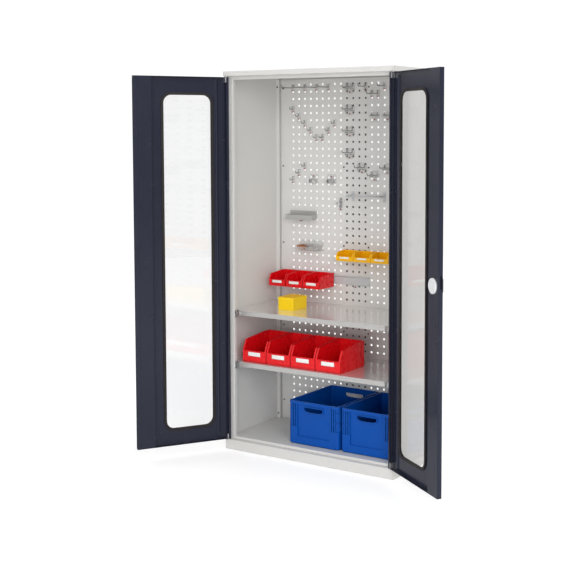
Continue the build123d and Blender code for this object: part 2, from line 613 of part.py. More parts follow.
def flat_holder(c, r):
    """Clear base with a cross wire and a short ledge."""
    xa, xb, z0, z1 = hx(c), hx(c + 1), hz(r), hz(r + 1)
    xm, zm = (xa + xb) / 2, (z0 + z1) / 2
    b = extrude(FACE * (Pos(xm, zm - 4.0) * RectangleRounded(56.0, 52.0, 9.0)), amount=2.6)
    ledge = bx(xm - 27.0, xm + 27.0, YP - 24.0, YP - 2.0, zm - 6.0, zm - 3.6)
    ledge -= bx(xm - 4.0, xm + 4.0, YP - 30.0, YP - 12.0, zm - 9.0, zm)
    b = fuse([b, ledge])
    for x in (xa + 2.0, xb - 2.0):
        b -= cyl((x, YP + 1, z0), (x, YP - 8, z0), 2.6)
        PINS.append(wire([(x, YP + 8.0, z0 + 10.0), (x, YP + 8.0, z0), (x, YP - 5.4, z0), (x, YP - 5.4, z0 - 12.5)], 2.2, 3.0))
    PINS.append(cyl((xm - 27.0, YP - 9.0, zm + 4.4), (xm + 27.0, YP - 9.0, zm + 4.4), 1.9))
    for sx in (-1, 1):
        lug = bx(xm + sx * 27.5 - 2.5, xm + sx * 27.5 + 2.5, YP - 12.0, YP - 2.0, zm + 0.5, zm + 8.5)
        lug -= cyl((xm - 40, YP - 9.0, zm + 4.4), (xm + 40, YP - 9.0, zm + 4.4), 1.95)
        b = b.fuse(lug)
    b -= cyl((xm, YP + 1, z1 + 3.0), (xm, YP - 8, z1 + 3.0), 1.6)
    BASES.append(b)
    DOTS.append(red_dot(xm, z1 + 3.0))


flat_holder(13, 4)
flat_holder(15, 4)

# spring clamps: two sprung jaws on a clear base
def clamp(c, r):
    x, z = hx(c) + 19, hz(r) - 14.0
    b = extrude(FACE * (Pos(x, z + 4.0) * RectangleRounded(58.0, 54.0, 10.0)), amount=2.6)
    b = fuse([b, bx(x - 27, x + 27, YP - 5.0, YP - 2.0, z + 14.0, z + 16.5), bx(x - 27, x + 27, YP - 5.0, YP - 2.0, z + 6.0, z + 8.5)])
    b -= cyl((x, YP + 1, z + 20.5), (x, YP - 8, z + 20.5), 1.6)
    BASES.append(b)
    DOTS.append(red_dot(x, z + 20.5))
    jaw = []
    for s in (-1, 1):
        p = [(x + s * 1.0, YP - 3.4), (x + s * 17, YP - 3.4), (x + s * 20, YP - 20), (x + s * 9, YP - 33), (x + s * 19, YP - 44)]
        jaw.append(up_z(strip(p, 1.4, 2.2), z - 16, z + 2))
    post_ = bx(x - 2.0, x + 2.0, YP - 9.0, YP - 2.75, z - 18.0, z + 4.0)
    return fuse(jaw + [post_])


keep("tool_clamps", group([clamp(3, 13), clamp(6, 13)]))


def small_bracket(c, r):
    x, z0, z1 = hx(c), hz(r), hz(r + 1)
    plate = bx(x - 9, x + 9, YP - 1.6, YP, z1 - 7, z0 + 7)
    ring = cyl((x, YP - 20, z1 + 14), (x, YP - 20, z1 + 22), 14.0) - cyl((x, YP - 20, z1 + 10), (x, YP - 20, z1 + 26), 10.5)
    arm_ = bx(x - 4, x + 4, YP - 9.5, YP - 1.0, z1 + 14, z1 + 22)
    peg = wire([(x, YP - 0.8, z0), (x, YP + 7.5, z0), (x, YP + 7.5, z0 + 9.0)], 2.2, 3.0)
    return fuse([plate, ring, arm_, peg])


keep("ring_bracket", small_bracket(8, 16))

# wide holder: two long rods across brackets
wz = hz(15) - 14
wr = []
for c in (10, 15):
    x = hx(c)
    wr.append(bx(x - 8, x + 8, YP - 2, YP, wz - 30, wz + 20))
    wr.append(bx(x - 1.5, x + 1.5, YP - 64, YP - 1.5, wz - 8, wz + 4))
    wr.append(wire([(x, YP - 1.0, hz(15)), (x, YP + 7.5, hz(15)), (x, YP + 7.5, hz(15) + 9.0)], 2.2, 3.0))
for y in (YP - 22, YP - 58):
    wr.append(cyl((hx(10) - 14, y, wz - 2), (hx(15) + 14, y, wz - 2), 3.0))
keep("rod_holder", fuse(wr))

# shallow tool tray with sockets along its top
TX0, TX1 = -419.0, -247.0
tz = 1172.0
tray_b = bx(TX0, TX1, YP - 50, YP, tz, tz + 26)
tray_b -= bx(TX0 + 1.5, TX1 - 1.5, YP - 48.5, YP - 1.5, tz + 2.0, tz + 27)
deck = bx(TX0 + 1.0, TX1 - 1.0, YP - 49, YP - 1.0, tz + 20, tz + 21.6)
tray_b = fuse([tray_b, deck])
for k in range(7):
    for yy in (YP - 14, YP - 35):
        tray_b -= cyl((TX0 + 17 + k * 23, yy, tz + 15), (TX0 + 17 + k * 23, yy, tz + 25), 5.0 if yy > YP - 20 else 6.5)
tray_p = [wire([(hx(c), YP - 0.8, hz(18)), (hx(c), YP + 7.5, hz(18)), (hx(c), YP + 7.5, hz(18) + 9.0)], 2.2, 3.0) for c in (0, 3)]
flange_t = bx(TX0, TX1, YP - 1.5, YP, tz + 20, tz + 46)
keep("tool_tray", fuse([tray_b, flange_t] + tray_p))

# clear stepped holder with a wooden insert
CX0, CX1 = -350.0, -204.0
cz = 1008.0
cl = bx(CX0, CX1, YP - 50, YP, cz, cz + 4)
cl = fuse([cl, bx(CX0, CX1, YP - 4, YP, cz, cz + 54), bx(CX0, CX1, YP - 50, YP - 47, cz, cz + 20),
           bx(CX0, CX0 + 3, YP - 50, YP, cz, cz + 30), bx(CX1 - 3, CX1, YP - 50, YP, cz, cz + 30)])
for k in range(9):
    xx = CX0 + 62 + k * 9.4
    cl = cl.fuse(bx(xx - 0.9, xx + 0.9, YP - 46.9, YP - 3.5, cz + 3.5, cz + 30))
keep("clear_holder", cl)
keep("wood_insert", bx(CX0 + 4, CX0 + 56, YP - 46.5, YP - 5, cz + 4.1, cz + 27))

# two bin rails
def bin_rail(x0, x1, z0, z1, c0, c1, r):
    top = z1
    path = [(YP - 0.8, z0), (YP - 0.8, top - 10), (YP - 7.5, top - 4), (YP - 7.5, top)]
    rr = along_x(strip(path, 1.5, 1.6), x0, x1)
    edge = bx(x0, x1, YP - 3.2, YP, z0, z0 + 3.0)
    pegs = [wire([(hx(c), YP - 0.8, hz(r)), (hx(c), YP + 7.5, hz(r)), (hx(c), YP + 7.5, hz(r) + 9.0)], 2.2, 3.0) for c in (c0, c1)]
    return fuse([rr, edge] + pegs)


RED_RAIL = (-415.0, 85.0, 834.0, 884.0)
YEL_RAIL = (-58.0, 292.0, 980.0, 1014.0)
keep("bin_rails", group([bin_rail(*RED_RAIL, 0, 12, 27), bin_rail(*YEL_RAIL, 10, 16, 24)]))

# clear clips with a coloured pin under the tray, the rail and the ring bracket
def low_clip(x, z):
    b = oval(x, z, 30.0, 14.0, 2.4)
    b -= cyl((x, YP + 1, z), (x, YP - 8, z), 1.6)
    BASES.append(b)
    DOTS.append(red_dot(x, z))


low_clip(-346.0, tz - 7.5)
low_clip(-2.0, RED_RAIL[2] - 7.5)
low_clip(hx(8), hz(17) - 15.0)
keep("hook_pins", group(PINS))
keep("hook_bases", group(BASES))
keep("hook_retainers", group(DOTS))


# ======================= bins, crates and box ============================
def bin_body(w, d, h, lip, run, top, wall, side_in, label_z, label_w, label_h, hang=None):
    """Open-front storage bin. Front face at y = 0, floor at z = 0, centred on x = 0.
    The side walls stand up from the lip to `top` at y = run, then climb gently to h at the back."""
    def face(pts):
        return make_face(Polyline(*pts, close=True))

    foot = 7.0
    outer = along_x(face([(3.0, 0), (d - 3.0, 0), (d, foot), (d, h), (d * 0.86, h), (run, top), (run * 0.32, lip + (top - lip) * 0.34),
                          (0, lip - 2.0), (0, foot + 2.0)]), -w / 2, w / 2)
    inner = along_x(face([(wall + 5, wall), (d - wall - 2, wall), (d - wall, wall + 6), (d - wall, h + 20), (wall, h + 20),
                          (wall, wall + 8)]), -w / 2 + wall, w / 2 - wall)
    # the front edges of the side walls are turned in
    keepers = [along_x(face([(0.0, foot + 2.0), (wall + 1.2, foot + 2.0), (wall + 1.2, lip - 2.0), (run * 0.32 + 3.2, lip + (top - lip) * 0.34),
                             (run + 2.2, top), (run, top), (run * 0.32, lip + (top - lip) * 0.34), (0.0, lip - 2.0)]),
                       *sorted((s * (w / 2 - side_in), s * (w / 2)))) for s in (-1, 1)]
    body = fuse([outer - inner] + keepers)
    body -= bx(-w / 2 + side_in, w / 2 - side_in, -4, run + 4, lip, h + 5)
    # rims: turned-out edge along the side tops and a deeper flange across the back
    rim = [bx(s * (w / 2 - 2.8), s * w / 2, d * 0.86, d, h - 3.4, h) for s in (-1, 1)]
    rim.append(bx(-w / 2, w / 2, d - 4.4, d + 2.0, h - 9.0, h))
    # foot line and label frame on the front
    fr = bx(-label_w / 2 - 2.5, label_w / 2 + 2.5, -1.6, 0.4, label_z - 2.0, label_z + label_h + 2.0)
    fr -= bx(-label_w / 2, label_w / 2, -2.6, -0.4, label_z, label_z + label_h + 5)
    line = bx(-w / 2 + 1.0, w / 2 - 1.0, -1.0, 0.8, foot + 2.0, foot + 5.0)
    fe = along_x(face([(0.2, lip - 3.6), (-2.6, lip - 1.6), (-2.6, lip), (1.4, lip)]), -w / 2 + side_in, w / 2 - side_in)
    body = fuse([body, fr, line, fe] + rim)
    if hang:
        zc, drop = hang
        hk = along_x(strip([(d - 1.0, zc), (d + 5.3, zc), (d + 5.3, zc - drop)], 1.6, 1.2), -w / 2 + 10, w / 2 - 10)
        body = fuse([body, hk])
    return body


BIG = dict(w=146.0, d=230.0, h=131.0, lip=62.0, run=24.0, top=113.0, wall=2.4, side_in=9.0,
           label_z=33.0, label_w=78.0, label_h=21.0)
BIG_X = [-356.0, -206.0, -56.0, 94.0]
BIG_Y = -250 + 58.0
for k, x in enumerate(BIG_X):
    keep("large_red_bin_%d" % (k + 1), Pos(x, BIG_Y, SHELF_LOW + 0.1) * bin_body(**BIG))

RSM = dict(w=105.0, d=142.0, h=74.0, lip=37.0, run=17.0, top=64.0, wall=2.0, side_in=6.5,
           label_z=18.0, label_w=62.0, label_h=14.0,
           hang=(65.0, 4.0))
RED_X = [-403.0, -294.0, -185.0]
RED_Y = YP - 7.5 - 3.6 - 142.0 + 0.4
for k, x in enumerate(RED_X):
    keep("small_red_bin_%d" % (k + 1), Pos(x, RED_Y, 820.0) * bin_body(**RSM))

YSM = dict(w=103.0, d=84.0, h=51.0, lip=26.0, run=14.0, top=45.0, wall=2.0, side_in=6.5,
           label_z=12.5, label_w=58.0, label_h=9.5,
           hang=(43.0, 4.0))
YEL_X = [-14.5, 90.5, 195.5]
YEL_Y = YP - 7.5 - 3.6 - 84.0 + 0.4
for k, x in enumerate(YEL_X):
    keep("small_yellow_bin_%d" % (k + 1), Pos(x, YEL_Y, 972.0) * bin_body(**YSM))


def crate():
    """Stacking crate, 300 x 400 x 220, front at y = 0, centred on x = 0."""
    w, d, h, wl = 300.0, 400.0, 220.0, 2.8
    core = Pos(0, d / 2, 0) * extrude(RectangleRounded(w - 12, d - 12, 14), amount=h)
    foot = Pos(0, d / 2, 0) * extrude(RectangleRounded(w - 16, d - 16, 12), amount=6)
    skirt_ = Pos(0, d / 2, 5.5) * extrude(RectangleRounded(w, d, 18), amount=84.5)
    rim = Pos(0, d / 2, h - 13) * extrude(RectangleRounded(w, d, 18), amount=13)
    band = Pos(0, d / 2, h - 34) * extrude(RectangleRounded(w - 2, d - 2, 17), amount=3)
    band2 = Pos(0, d / 2, h - 82) * extrude(RectangleRounded(w - 3, d - 3, 17), amount=3)
    posts = []
    for sx in (-1, 1):
        for u in (104.0, 117.0, 130.0):
            posts.append(bx(sx * u - 1.2, sx * u + 1.2, 0.8, d - 0.8, 60, h - 6))
    for y in (14.0, 30.0, 46.0, 110.0, 160.0, 200.0, 240.0, 290.0, 354.0, 370.0, 386.0):
        posts.append(bx(-w / 2 + 0.8, w / 2 - 0.8, y - 1.2, y + 1.2, 60, h - 6))
    body = fuse([core, foot, skirt_, rim, band, band2] + posts)
    # flat recessed panel in both ends
    for y0, y1 in ((-2, 5.9), (d - 5.9, d + 2)):
        body -= bx(-95, 74 + 21, y0, y1, 42, h - 13.2)
    # recess of the side panels between the ribs, above the skirt
    inner = Pos(0, d / 2, 5.0) * extrude(RectangleRounded(w - 12 - 2 * wl, d - 12 - 2 * wl, 12), amount=h)
    body -= inner
    # hand slots through both ends, with a collar
    slot = make_face(Curve() + [Line((-53, h - 27), (53, h - 27)), ThreePointArc((53, h - 27), (53.5, h - 41), (43, h - 48)),
                                ThreePointArc((43, h - 48), (0, h - 51), (-43, h - 48)), ThreePointArc((-43, h - 48), (-53.5, h - 41), (-53, h - 27))])
    ring = Pos(0, h - 38.5) * RectangleRounded(118, 33, 10)
    pl = Plane(origin=(0, 0, 0), x_dir=(1, 0, 0), z_dir=(0, -1, 0))
    for ya, yb_ in ((0.6, 9.0), (d - 9.0, d - 0.6)):
        body = body.fuse(extrude(Pos(0, ya, 0) * (pl * ring), amount=-(yb_ - ya)))
    body -= extrude(Pos(0, -5, 0) * (pl * slot), amount=-(d + 10))
    return body.clean()


CR = crate()
CRATE_X = [-5.0, 307.0]
CRATE_Y = -250 + 78.0
for k, x in enumerate(CRATE_X):
    keep("blue_crate_%d" % (k + 1), Pos(x, CRATE_Y, FLOOR_Z + 0.1) * CR)

# small lidded box, turned a little
BW, BD, BH = 98.0, 128.0, 65.0
base = extrude(RectangleRounded(BW - 3, BD - 3, 4), amount=BH - 16)
base -= Pos(0, 0, 2) * extrude(RectangleRounded(BW - 7, BD - 7, 3), amount=BH)
lid = Pos(0, 0, BH - 15.9) * extrude(RectangleRounded(BW, BD, 5), amount=15.9)
lid -= Pos(0, 0, BH - 17) * extrude(RectangleRounded(BW - 5, BD - 5, 3), amount=14.8)
lid -= Pos(0, 0, BH - 1.0) * extrude(RectangleRounded(BW - 12, BD - 12, 4), amount=3)
BXP = Pos(-239.0, -14.0, SHELF_UP + 0.1) * Rot(0, 0, -1)
keep("yellow_box_base", BXP * base)
keep("yellow_box_lid", BXP * lid)

# ---- write --------------------------------------------------------------
for name, shape in NODES.items():
    export_step(shape, os.path.join("parts", name + ".step"))
print(len(NODES), "nodes")
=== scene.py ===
import bpy
import bmesh
from math import radians, sin, cos, pi
from mathutils import Vector, Matrix


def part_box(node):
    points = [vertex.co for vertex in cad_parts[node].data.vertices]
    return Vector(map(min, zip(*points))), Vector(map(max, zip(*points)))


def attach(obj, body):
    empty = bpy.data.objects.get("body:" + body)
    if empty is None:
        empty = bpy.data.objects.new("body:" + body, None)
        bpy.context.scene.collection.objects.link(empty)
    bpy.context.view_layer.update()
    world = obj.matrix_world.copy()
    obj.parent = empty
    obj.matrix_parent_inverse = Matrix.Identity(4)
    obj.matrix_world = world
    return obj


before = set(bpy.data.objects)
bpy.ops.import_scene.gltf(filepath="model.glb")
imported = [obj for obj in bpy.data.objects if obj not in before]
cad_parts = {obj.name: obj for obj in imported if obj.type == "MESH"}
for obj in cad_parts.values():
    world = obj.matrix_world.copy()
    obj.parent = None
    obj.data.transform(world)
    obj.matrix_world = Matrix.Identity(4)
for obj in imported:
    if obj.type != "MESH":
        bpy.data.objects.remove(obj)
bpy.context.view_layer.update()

scene = bpy.context.scene
scene.view_settings.view_transform = "Standard"
scene.view_settings.look = "None"


def lin(r, g, b, a=1.0):
    """sRGB 0-255 to linear."""
    f = lambda v: (v / 255 / 12.92) if v <= 10.31475 else ((v / 255 + 0.055) / 1.055) ** 2.4
    return (f(r), f(g), f(b), a)


# ---------------------------------------------------------------- materials
class Mat:
    def __init__(self, name):
        self.m = bpy.data.materials.new(name)
        self.m.use_nodes = True
        self.t = self.m.node_tree
        self.n, self.l = self.t.nodes, self.t.links
        self.p = self.n["Principled BSDF"]
        self.out = self.n["Material Output"]
        self.co = self.n.new("ShaderNodeTexCoord").outputs["Object"]

    def noise(self, scale, detail=3.0, rough=0.55, stretch=None):
        src = self.co
        if stretch:
            mp = self.n.new("ShaderNodeMapping")
            mp.inputs["Scale"].default_value = stretch
            self.l.new(self.co, mp.inputs["Vector"])
            src = mp.outputs["Vector"]
        t = self.n.new("ShaderNodeTexNoise")
        t.inputs["Scale"].default_value = scale
        t.inputs["Detail"].default_value = detail
        t.inputs["Roughness"].default_value = rough
        self.l.new(src, t.inputs["Vector"])
        return t.outputs["Fac"]

    def ramp(self, fac, stops):
        r = self.n.new("ShaderNodeValToRGB")
        e = r.color_ramp.elements
        e[0].position, e[0].color = stops[0]
        e[1].position, e[1].color = stops[-1]
        for s in stops[1:-1]:
            x = e.new(s[0])
            x.color = s[1]
        self.l.new(fac, r.inputs["Fac"])
        return r.outputs["Color"]

    def spread(self, fac, lo, hi, a=0.3, b=0.7):
        m = self.n.new("ShaderNodeMapRange")
        m.inputs["From Min"].default_value = a
        m.inputs["From Max"].default_value = b
        m.inputs["To Min"].default_value = lo
        m.inputs["To Max"].default_value = hi
        self.l.new(fac, m.inputs["Value"])
        return m.outputs["Result"]

    def bump(self, fac, strength, distance, normal=None):
        b = self.n.new("ShaderNodeBump")
        b.inputs["Strength"].default_value = strength
        b.inputs["Distance"].default_value = distance
        self.l.new(fac, b.inputs["Height"])
        if normal:
            self.l.new(normal, b.inputs["Normal"])
        return b.outputs["Normal"]

    def bevel(self, radius, samples=4):
        b = self.n.new("ShaderNodeBevel")
        b.samples = samples
        b.inputs["Radius"].default_value = radius
        return b.outputs["Normal"]

    def set(self, **kw):
        for k, v in kw.items():
            self.p.inputs[k.replace("_", " ")].default_value = v

    def link(self, sock, name):
        self.l.new(sock, self.p.inputs[name])


def shade(c, k):
    return (min(1, c[0] * k), min(1, c[1] * k), min(1, c[2] * k), 1)


def powder(name, col, rough, var=0.03, grain=900.0, depth=0.00006, strength=0.25, spec=0.5, bev=0.0012, coat=0.0):
    """Powder coat: fine orange peel, faint mottling and uneven gloss."""
    m = Mat(name)
    big = m.noise(3.1, 2)
    m.link(m.ramp(big, [(0.3, shade(col, 1 - var)), (0.7, shade(col, 1 + var))]), "Base Color")
    m.link(m.spread(m.noise(14.0, 4), rough - 0.035, rough + 0.035), "Roughness")
    nrm = m.bevel(bev) if bev else None
    m.link(m.bump(m.noise(grain, 2), strength, depth, nrm), "Normal")
    m.set(Specular_IOR_Level=spec, IOR=1.5)
    if coat:
        m.set(Coat_Weight=coat, Coat_Roughness=0.12)
    return m.m


def plastic(name, col, rough, var=0.06, spec=0.5, bev=0.0012, sss=0.0, crease_shade_distance=0.0):
    """Injection-moulded plastic: soft flow marks, fine surface texture, light rubbing; optionally painted shade
    that darkens the creases.
    """
    m = Mat(name)
    flow = m.noise(3.0, 2, stretch=(1, 1, 0.35))
    base = m.ramp(flow, [(0.25, shade(col, 1 - var)), (0.75, shade(col, 1 + var))])
    # painted shade: ambient occlusion darkens the base colour in creases and hollows, down to 0.42 of the colour
    if crease_shade_distance:
        ao = m.n.new("ShaderNodeAmbientOcclusion")
        ao.samples = 24
        ao.inputs["Distance"].default_value = crease_shade_distance
        dark = m.ramp(ao.outputs["AO"], [(0.25, shade(col, 0.42)), (0.9, (1, 1, 1, 1))])
        mu = m.n.new("ShaderNodeMix")
        mu.data_type = "RGBA"
        mu.blend_type = "DARKEN"
        mu.inputs["Factor"].default_value = 1.0
        m.l.new(base, mu.inputs["A"])
        m.l.new(dark, mu.inputs["B"])
        base = mu.outputs["Result"]
    m.link(base, "Base Color")
    m.link(m.spread(m.noise(38.0, 5), rough - 0.03, rough + 0.05), "Roughness")
    m.link(m.bump(m.noise(1400.0, 2), 0.12, 0.00005, m.bevel(bev) if bev else None), "Normal")
    m.set(Specular_IOR_Level=spec, IOR=1.5)
    if sss:
        m.set(Subsurface_Weight=sss, Subsurface_Scale=0.004)
    return m.m


def metal(name, col, rough, brushed=(1, 1, 1), var=0.06, scale=220.0):
    m = Mat(name)
    n1 = m.noise(scale, 4, stretch=brushed)
    m.link(m.ramp(n1, [(0.3, shade(col, 1 - var)), (0.7, shade(col, 1 + var))]), "Base Color")
    m.link(m.spread(m.noise(60.0, 4), rough - 0.08, rough + 0.1), "Roughness")
    m.link(m.bump(n1, 0.15, 0.0001, m.bevel(0.0005)), "Normal")
    m.set(Metallic=1.0)
    return m.m


def rubber(name, col, rough=0.55):
    m = Mat(name)
    m.link(m.ramp(m.noise(40.0, 4), [(0.3, shade(col, 0.8)), (0.7, shade(col, 1.35))]), "Base Color")
    m.link(m.spread(m.noise(25.0, 3), rough - 0.08, rough + 0.08), "Roughness")
    m.link(m.bump(m.noise(600.0, 3), 0.2, 0.0001, m.bevel(0.001)), "Normal")
    m.set(Specular_IOR_Level=0.4)
    return m.m


def pane(name, tint, f0=0.04, rough=0.03, haze=0.0, lean=None):
    """Thin clear sheet: what is behind shows through, and each face mirrors the room more at a glancing angle.
    lean turns the mirrored direction a little, as a sheet does that isn't flat in its rubber profile."""
    m = Mat(name)
    m.n.remove(m.p)
    tr = m.n.new("ShaderNodeBsdfTransparent")
    tr.inputs["Color"].default_value = tint
    gl = m.n.new("ShaderNodeBsdfGlossy")
    m.l.new(m.spread(m.noise(5.0, 3), rough * 0.7, rough * 1.5), gl.inputs["Roughness"])
    nrm = m.bump(m.noise(2.2, 1), 0.04, 0.001)
    if lean:
        tv = m.n.new("ShaderNodeVectorTransform")
        tv.vector_type = "VECTOR"
        tv.convert_from = "OBJECT"
        tv.convert_to = "WORLD"
        tv.inputs["Vector"].default_value = lean
        ad = m.n.new("ShaderNodeVectorMath")
        ad.operation = "ADD"
        m.l.new(nrm, ad.inputs[0])
        m.l.new(tv.outputs["Vector"], ad.inputs[1])
        no = m.n.new("ShaderNodeVectorMath")
        no.operation = "NORMALIZE"
        m.l.new(ad.outputs["Vector"], no.inputs[0])
        nrm = no.outputs["Vector"]
    m.l.new(nrm, gl.inputs["Normal"])
    lw = m.n.new("ShaderNodeLayerWeight")
    lw.inputs["Blend"].default_value = 0.5
    pw = m.n.new("ShaderNodeMath")
    pw.operation = "POWER"
    pw.inputs[1].default_value = 5.0
    m.l.new(lw.outputs["Facing"], pw.inputs[0])
    k = m.n.new("ShaderNodeMath")
    k.operation = "MULTIPLY_ADD"
    k.inputs[1].default_value = 1 - f0
    k.inputs[2].default_value = f0
    m.l.new(pw.outputs["Value"], k.inputs[0])
    mix = m.n.new("ShaderNodeMixShader")
    m.l.new(k.outputs["Value"], mix.inputs["Fac"])
    m.l.new(tr.outputs["BSDF"], mix.inputs[1])
    m.l.new(gl.outputs["BSDF"], mix.inputs[2])
    last = mix.outputs["Shader"]
    if haze:
        df = m.n.new("ShaderNodeBsdfDiffuse")
        df.inputs["Color"].default_value = (0.86, 0.86, 0.85, 1)
        mx = m.n.new("ShaderNodeMixShader")
        m.l.new(m.spread(m.noise(30.0, 4), haze * 0.6, haze * 1.4), mx.inputs["Fac"])
        m.l.new(last, mx.inputs[1])
        m.l.new(df.outputs["BSDF"], mx.inputs[2])
        last = mx.outputs["Shader"]
    m.l.new(last, m.out.inputs["Surface"])
    return m.m


def galvanised(name, col, rough=0.26):
    """Zinc-coated sheet: a faint mottle of crystals, rolled streaks and uneven gloss; faces that stand upright get
    painted shade, their colour multiplied down to about two thirds.
    """
    m = Mat(name)
    v = m.n.new("ShaderNodeTexVoronoi")
    v.inputs["Scale"].default_value = 70.0
    m.l.new(m.co, v.inputs["Vector"])
    r = m.n.new("ShaderNodeSeparateColor")
    m.l.new(v.outputs["Color"], r.inputs["Color"])
    st = m.noise(9.0, 3, stretch=(0.25, 3.0, 3.0))
    add = m.n.new("ShaderNodeMath")
    add.operation = "MULTIPLY_ADD"
    add.inputs[1].default_value = 0.25
    m.l.new(r.outputs["Red"], add.inputs[0])
    m.l.new(st, add.inputs[2])
    tone = m.ramp(add.outputs["Value"], [(0.35, shade(col, 0.985)), (0.85, shade(col, 1.015))])
    # painted shade: faces whose normal is not near vertical are darkened by multiplying the colour
    gn = m.n.new("ShaderNodeNewGeometry")
    up = m.n.new("ShaderNodeSeparateXYZ")
    m.l.new(gn.outputs["Normal"], up.inputs["Vector"])
    flat = m.n.new("ShaderNodeMath")
    flat.operation = "ABSOLUTE"
    m.l.new(up.outputs["Z"], flat.inputs[0])
    fold = m.n.new("ShaderNodeMath")
    fold.operation = "LESS_THAN"
    fold.inputs[1].default_value = 0.6
    m.l.new(flat.outputs["Value"], fold.inputs[0])
    side_face_painted_shade = m.n.new("ShaderNodeMix")
    side_face_painted_shade.data_type = "RGBA"
    side_face_painted_shade.blend_type = "MULTIPLY"
    m.l.new(fold.outputs["Value"], side_face_painted_shade.inputs["Factor"])
    m.l.new(tone, side_face_painted_shade.inputs["A"])
    side_face_painted_shade.inputs["B"].default_value = (0.66, 0.65, 0.64, 1)
    m.link(side_face_painted_shade.outputs["Result"], "Base Color")
    m.link(m.spread(add.outputs["Value"], rough - 0.02, rough + 0.03, 0.35, 0.85), "Roughness")
    m.link(m.bump(st, 0.03, 0.0002, m.bevel(0.0012)), "Normal")
    m.set(Metallic=0.6, Specular_IOR_Level=0.6)
    return m.m


def slotted(name, col, y0, half, z0, pitch, share):
    """Powder coat with painted shade: a row of near-black slot marks up the face, where the slot openings stand in
    shade.
    """
    mat = powder(name, col, 0.4, var=0.015, bev=0.0008)
    t = mat.node_tree
    nodes, links = t.nodes, t.links

    def calc(op, a, b=None):
        q = nodes.new("ShaderNodeMath")
        q.operation = op
        for i, v in enumerate((a, b)):
            if v is None:
                continue
            if isinstance(v, (int, float)):
                q.inputs[i].default_value = v
            else:
                links.new(v, q.inputs[i])
        return q.outputs["Value"]

    co = nodes.new("ShaderNodeTexCoord")
    xyz = nodes.new("ShaderNodeSeparateXYZ")
    links.new(co.outputs["Object"], xyz.inputs["Vector"])
    near_y = calc("LESS_THAN", calc("ABSOLUTE", calc("SUBTRACT", xyz.outputs["Y"], y0)), half)
    step = calc("FRACT", calc("MULTIPLY_ADD", calc("SUBTRACT", xyz.outputs["Z"], z0), 1 / pitch))
    step.node.inputs[0].links[0].from_node.inputs[2].default_value = 0.5
    near_z = calc("LESS_THAN", calc("ABSOLUTE", calc("SUBTRACT", step, 0.5)), share / 2)
    slot_shade_mask = calc("MULTIPLY", near_y, near_z)
    pr = nodes["Principled BSDF"]
    old = pr.inputs["Base Color"].links[0].from_socket
    slot_shade_mix = nodes.new("ShaderNodeMix")
    slot_shade_mix.data_type = "RGBA"
    links.new(slot_shade_mask, slot_shade_mix.inputs["Factor"])
    links.new(old, slot_shade_mix.inputs["A"])
    # painted shade: near-black colour laid over the slot openings
    slot_shade_mix.inputs["B"].default_value = (0.02, 0.02, 0.022, 1)
    links.new(slot_shade_mix.outputs["Result"], pr.inputs["Base Color"])
    return mat


def timber(name):
    m = Mat(name)
    g = m.noise(30.0, 5, stretch=(1.0, 6.0, 6.0))
    m.link(m.ramp(g, [(0.3, lin(120, 66, 30)), (0.55, lin(164, 96, 48)), (0.75, lin(186, 118, 66))]), "Base Color")
    m.link(m.spread(g, 0.4, 0.6), "Roughness")
    m.link(m.bump(g, 0.3, 0.0003), "Normal")
    return m.m


def paper(name, col=(240, 240, 238)):
    m = Mat(name)
    c = lin(*col)
    m.link(m.ramp(m.noise(160.0, 5), [(0.3, shade(c, 0.95)), (0.7, shade(c, 1.03))]), "Base Color")
    m.link(m.spread(m.noise(300.0, 3), 0.5, 0.7), "Roughness")
    m.link(m.bump(m.noise(900.0, 3), 0.15, 0.00005), "Normal")
    return m.m


M = {
    "body": powder("body paint", lin(216, 215, 212), 0.4, var=0.015, bev=0.0014),
    "upright": slotted("upright paint with painted slot shade", lin(216, 215, 212), 0.2185, 0.0036, 0.160, 0.0125, 0.56),
    # painted shade: the centre stiffener behind the perforations is painted dark grey to stand for the shade there
    "shade": powder("painted shade dark grey", lin(78, 79, 84), 0.5, var=0.04, bev=0.0014, spec=0.3),
    "panel": powder("perforated sheet paint", lin(220, 219, 217), 0.42, var=0.015, bev=0.0),
    "shelf": galvanised("galvanised shelf", lin(236, 236, 235), 0.15),
    "door": powder("door paint", lin(38, 41, 56), 0.24, var=0.04, bev=0.0014, strength=0.15, spec=0.3),
    "zinc": metal("zinc plated steel", lin(200, 200, 200), 0.34),
    "wire": metal("dark wire", lin(150, 150, 152), 0.38),
    "bright": metal("polished metal", lin(225, 225, 225), 0.15),
    "rail": powder("light grey rail paint", lin(196, 198, 200), 0.3, var=0.03, bev=0.0008),
    "tray": powder("grey tray paint", lin(176, 176, 173), 0.38, var=0.03, bev=0.0008),
    "clear": pane("clear plastic", (0.992, 0.992, 0.99, 1), f0=0.025, rough=0.14, haze=0.06),
    "comb": pane("clear holder plastic", (0.99, 0.99, 0.988, 1), f0=0.04, rough=0.16, haze=0.2),
    "glass_l": pane("clear acrylic sheet left", (0.985, 0.987, 0.99, 1), f0=0.085, rough=0.02, lean=(0.293, 0.471, 0.0)),
    "glass_r": pane("clear acrylic sheet right", (0.985, 0.987, 0.99, 1), f0=0.05, rough=0.02, lean=(-0.145, 0.100, 0.0)),
    "wood": timber("timber"),
    "rubber": rubber("window profile rubber", lin(28, 22, 22)),
    "white": plastic("white plastic", lin(226, 227, 228), 0.28, var=0.02),
    "dark": plastic("dark plastic", lin(36, 37, 41), 0.42, var=0.1),
    # the red and blue plastics carry painted crease shade
    "red": plastic("red plastic", lin(230, 14, 24), 0.27, var=0.02, spec=0.4, crease_shade_distance=0.012),
    "pin": plastic("dark red plastic", lin(150, 22, 30), 0.35, var=0.05),
    "yellow": plastic("yellow plastic", lin(252, 190, 0), 0.3, var=0.03),
    "box": plastic("bright yellow plastic", lin(255, 212, 0), 0.3, var=0.02, spec=0.4),
    "blue": plastic("blue plastic", lin(0, 76, 166), 0.36, var=0.03, spec=0.2, crease_shade_distance=0.012),
    "card": paper("label card"),
}

